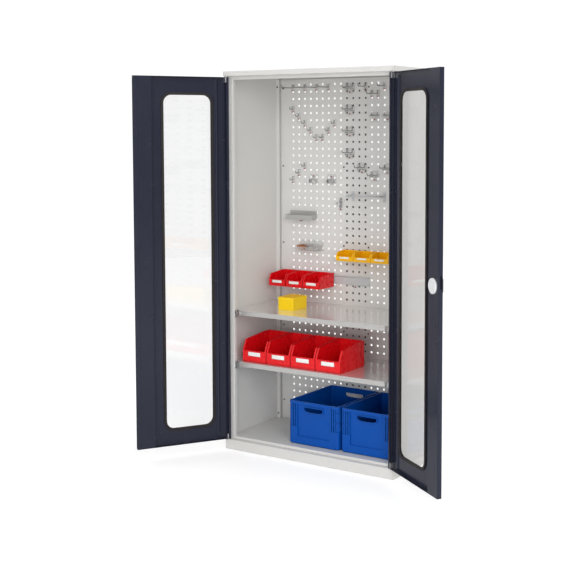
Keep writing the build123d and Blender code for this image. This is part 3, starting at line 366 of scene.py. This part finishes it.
LOOK = {
    "body": ["side_panel_left", "side_panel_right", "roof_cap", "floor_pan", "plinth_frame", "base_cross_rail",
             "rear_cross_rails"],
    "upright": ["rear_upright_left", "rear_upright_right"],
    "shade": ["rear_centre_stiffener"],
    "panel": ["perforated_back_left", "perforated_back_right"],
    "shelf": ["shelf_upper", "shelf_lower"],
    "zinc": ["pivot_bushes", "shelf_clips", "tool_clamps", "ring_bracket",
             "left_door_pivots", "right_door_pivots", "lock_case_and_guides", "lock_spindle",
             "upper_lock_rod", "lower_lock_rod"],
    "wire": ["hook_pins"],
    "rail": ["bin_rails", "rod_holder"],
    "tray": ["tool_tray"],
    "dark": ["rear_fasteners", "lock_knob"],
    "bright": ["key_cylinder"],
    "clear": ["hook_bases"],
    "comb": ["clear_holder"],
    "wood": ["wood_insert"],
    "pin": ["hook_retainers"],
    "red": ["large_red_bin_%d" % i for i in (1, 2, 3, 4)] + ["small_red_bin_%d" % i for i in (1, 2, 3)],
    "yellow": ["small_yellow_bin_%d" % i for i in (1, 2, 3)],
    "box": ["yellow_box_base", "yellow_box_lid"],
    "blue": ["blue_crate_1", "blue_crate_2"],
    "white": ["lock_inner_cap"],
    "door": ["%s_door_%s" % (s, p) for s in ("left", "right") for p in ("shell", "box_section", "stiffener")],
    "rubber": ["left_door_window_profile", "right_door_window_profile"],
    "glass_l": ["left_door_pane"],
    "glass_r": ["right_door_pane"],
}
for key, names in LOOK.items():
    for n in names:
        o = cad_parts[n]
        if not o.material_slots:
            o.data.materials.append(M[key])
        for s in o.material_slots:
            s.link = "OBJECT"
            s.material = M[key]


# ---------------------------------------------------------------- pieces
def mesh_object(name, bm, mat):
    me = bpy.data.meshes.new(name)
    bm.normal_update()
    bm.to_mesh(me)
    bm.free()
    me.materials.append(mat)
    o = bpy.data.objects.new(name, me)
    scene.collection.objects.link(o)
    return o


def card(name, x0, x1, y, z0, z1, body, thick=0.0005, bow=0.0004):
    """Label card, slightly bowed, slid into a bin's label frame."""
    bm = bmesh.new()
    nx, nz = 12, 5
    rows = []
    for j in range(nz + 1):
        row = []
        for i in range(nx + 1):
            u, v = i / nx, j / nz
            b = bow * (1 - (2 * u - 1) ** 2)
            row.append(bm.verts.new((x0 + (x1 - x0) * u, y - b, z0 + (z1 - z0) * v)))
        rows.append(row)
    for j in range(nz):
        for i in range(nx):
            bm.faces.new((rows[j][i], rows[j][i + 1], rows[j + 1][i + 1], rows[j + 1][i]))
    o = mesh_object(name, bm, M["card"])
    sol = o.modifiers.new("thickness", "SOLIDIFY")
    sol.thickness = thick
    sol.offset = 1.0
    for p in o.data.polygons:
        p.use_smooth = True
    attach(o, body)
    return o


def bin_card(body, w, z0, h):
    lo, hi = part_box(body)
    xm = (lo[0] + hi[0]) / 2
    front = lo[1]                    # the finger edge stands 2.6 mm out of the front face
    card(body + "_card", xm - w / 2 + 0.0006, xm + w / 2 - 0.0006, front + 0.0016, lo[2] + z0 + 0.0003, lo[2] + z0 + h, body)


for i in (1, 2, 3, 4):
    bin_card("large_red_bin_%d" % i, 0.078, 0.033, 0.021)
for i in (1, 2, 3):
    bin_card("small_red_bin_%d" % i, 0.062, 0.018, 0.014)
    bin_card("small_yellow_bin_%d" % i, 0.058, 0.0125, 0.0095)

def block(bm, x0, x1, y0, y1, z0, z1, e=0.0008):
    """Rib with softened corners: an eight-sided section drawn up its length."""
    ring = [(x0 + e, y0), (x1 - e, y0), (x1, y0 + e), (x1, y1 - e), (x1 - e, y1), (x0 + e, y1), (x0, y1 - e), (x0, y0 + e)]
    lo = [bm.verts.new((x, y, z0)) for x, y in ring]
    mid = [bm.verts.new((x, y, z1 - e)) for x, y in ring]
    cx, cy = (x0 + x1) / 2, (y0 + y1) / 2
    top = [bm.verts.new((cx + (x - cx) * 0.9, cy + (y - cy) * 0.9, z1)) for x, y in ring]
    for a, b in ((lo, mid), (mid, top)):
        for i in range(8):
            j = (i + 1) % 8
            bm.faces.new((a[i], a[j], b[j], b[i]))
    bm.faces.new(list(reversed(lo)))
    bm.faces.new(top)


def crate_ribs(body):
    """Stiffening ribs that stand between the skirt and the rim of a stacking crate."""
    lo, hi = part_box(body)
    xm, ym, z = (lo[0] + hi[0]) / 2, (lo[1] + hi[1]) / 2, lo[2]
    w, d = hi[0] - lo[0], hi[1] - lo[1]
    bm = bmesh.new()
    for u in (0.101, 0.114, 0.127):
        for sx in (-1, 1):
            a, b = sorted((xm + sx * (u - 0.0035), xm + sx * (u + 0.0035)))
            block(bm, a, b, lo[1] + 0.0003, lo[1] + 0.0062, z + 0.088, z + 0.208)
            block(bm, a, b, hi[1] - 0.0062, hi[1] - 0.0003, z + 0.088, z + 0.208)
    for v in (0.148, 0.162, 0.176):
        for sy in (-1, 1):
            a, b = sorted((ym + sy * (v - 0.0035), ym + sy * (v + 0.0035)))
            block(bm, lo[0] + 0.0003, lo[0] + 0.0062, a, b, z + 0.088, z + 0.208)
            block(bm, hi[0] - 0.0062, hi[0] - 0.0003, a, b, z + 0.088, z + 0.208)
    for sx in (-1, 1):                        # rests across the corner columns
        for zz in (0.128, 0.166):
            a, b = sorted((xm + sx * 0.0965, xm + sx * 0.1335))
            block(bm, a, b, lo[1] + 0.0012, lo[1] + 0.0062, z + zz, z + zz + 0.004)
            block(bm, a, b, hi[1] - 0.0062, hi[1] - 0.0012, z + zz, z + zz + 0.004)
    o = mesh_object(body + "_ribs", bm, M["blue"])
    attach(o, body)


crate_ribs("blue_crate_1")
crate_ribs("blue_crate_2")

# ---------------------------------------------------------------- stage
bm = bmesh.new()
bmesh.ops.create_circle(bm, cap_ends=True, radius=9.0, segments=128)
fm = Mat("studio floor")
fm.link(fm.ramp(fm.noise(0.8, 3), [(0.3, (0.87, 0.87, 0.87, 1)), (0.7, (0.89, 0.89, 0.89, 1))]), "Base Color")
fm.set(Roughness=0.7, Specular_IOR_Level=0.2)
fe = fm.n.new("ShaderNodeEmission")
fe.inputs["Color"].default_value = (1, 1, 1, 1)
fl = fm.n.new("ShaderNodeLightPath")
fmul = fm.n.new("ShaderNodeMath")
fmul.operation = "MULTIPLY"
fmul.inputs[1].default_value = 0.36
fm.l.new(fl.outputs["Is Camera Ray"], fmul.inputs[0])
fm.l.new(fmul.outputs["Value"], fe.inputs["Strength"])
fa = fm.n.new("ShaderNodeAddShader")
fm.l.new(fm.p.outputs["BSDF"], fa.inputs[0])
fm.l.new(fe.outputs["Emission"], fa.inputs[1])
fm.l.new(fa.outputs["Shader"], fm.out.inputs["Surface"])
floor = mesh_object("floor", bm, fm.m)
floor.location = (0, 0, -0.0004)


def area(name, loc, target, size, power, col=(1, 1, 1)):
    d = bpy.data.lights.new(name, "AREA")
    d.shape = "RECTANGLE"
    d.size, d.size_y = size
    d.energy = power
    d.color = col
    o = bpy.data.objects.new(name, d)
    scene.collection.objects.link(o)
    o.location = loc
    o.rotation_euler = (Vector(target) - Vector(loc)).to_track_quat("-Z", "Y").to_euler()
    return o


area("key", (5.2, -4.9, 2.8), (0, 0, 0.9), (2.6, 3.4), 152)
area("front", (2.2, -6.2, 0.9), (0, 0, 0.5), (3.0, 1.6), 66)
area("side", (6.4, 1.6, 2.4), (0.5, 0, 1.0), (2.6, 2.6), 50)
area("top", (0.2, -1.6, 5.2), (0, -0.4, 0), (5.0, 3.0), 16)

world = bpy.data.worlds.new("studio")
scene.world = world
world.use_nodes = True
wt = world.node_tree
for n in list(wt.nodes):
    wt.nodes.remove(n)
tc = wt.nodes.new("ShaderNodeTexCoord")
sp = wt.nodes.new("ShaderNodeSeparateXYZ")
mr = wt.nodes.new("ShaderNodeValToRGB")
mr.name = "sky ramp"
SKY = [(0.0, 0.16), (0.50, 0.16), (0.60, 0.74), (0.80, 1.02), (1.0, 0.45)]
el = mr.color_ramp.elements
el[0].position, el[0].color = SKY[0][0], (SKY[0][1],) * 3 + (1,)
el[1].position, el[1].color = SKY[-1][0], (SKY[-1][1],) * 3 + (1,)
for q, v in SKY[1:-1]:
    e = el.new(q)
    e.color = (v, v, v, 1)
hf = wt.nodes.new("ShaderNodeMath")
hf.operation = "MULTIPLY_ADD"
hf.inputs[1].default_value = 0.5
hf.inputs[2].default_value = 0.5
lp = wt.nodes.new("ShaderNodeLightPath")
mx = wt.nodes.new("ShaderNodeMix")
bg = wt.nodes.new("ShaderNodeBackground")
wo = wt.nodes.new("ShaderNodeOutputWorld")
wt.links.new(tc.outputs["Generated"], sp.inputs["Vector"])
wt.links.new(sp.outputs["Z"], hf.inputs[0])
wt.links.new(hf.outputs["Value"], mr.inputs["Fac"])
wt.links.new(lp.outputs["Is Camera Ray"], mx.inputs["Factor"])
prev = sp.outputs["X"]
for op, v in (("MULTIPLY", -1.0), ("MAXIMUM", 0.0), ("POWER", 3.0), ("MULTIPLY", 0.5)):
    q = wt.nodes.new("ShaderNodeMath")
    q.operation = op
    q.inputs[1].default_value = v
    wt.links.new(prev, q.inputs[0])
    prev = q.outputs["Value"]
both = wt.nodes.new("ShaderNodeMath")
both.operation = "ADD"
wt.links.new(mr.outputs["Color"], both.inputs[0])
wt.links.new(prev, both.inputs[1])
wt.links.new(both.outputs["Value"], mx.inputs["A"])
mx.inputs["B"].default_value = 1.05
wt.links.new(mx.outputs["Result"], bg.inputs["Strength"])
bg.inputs["Color"].default_value = (1, 1, 1, 1)
wt.links.new(bg.outputs["Background"], wo.inputs["Surface"])

# ---------------------------------------------------------------- camera
cd = bpy.data.cameras.new("camera")
cam = bpy.data.objects.new("camera", cd)
scene.collection.objects.link(cam)
cd.sensor_width = 36.0
cd.lens = 70.278
cd.shift_x = -0.09028
cd.shift_y = -0.13021
cd.clip_end = 200.0
cam.location = (3.0768, -4.7885, 1.6579)
cam.rotation_euler = (radians(90 - 4.271), 0.0, radians(32.34))
scene.camera = cam
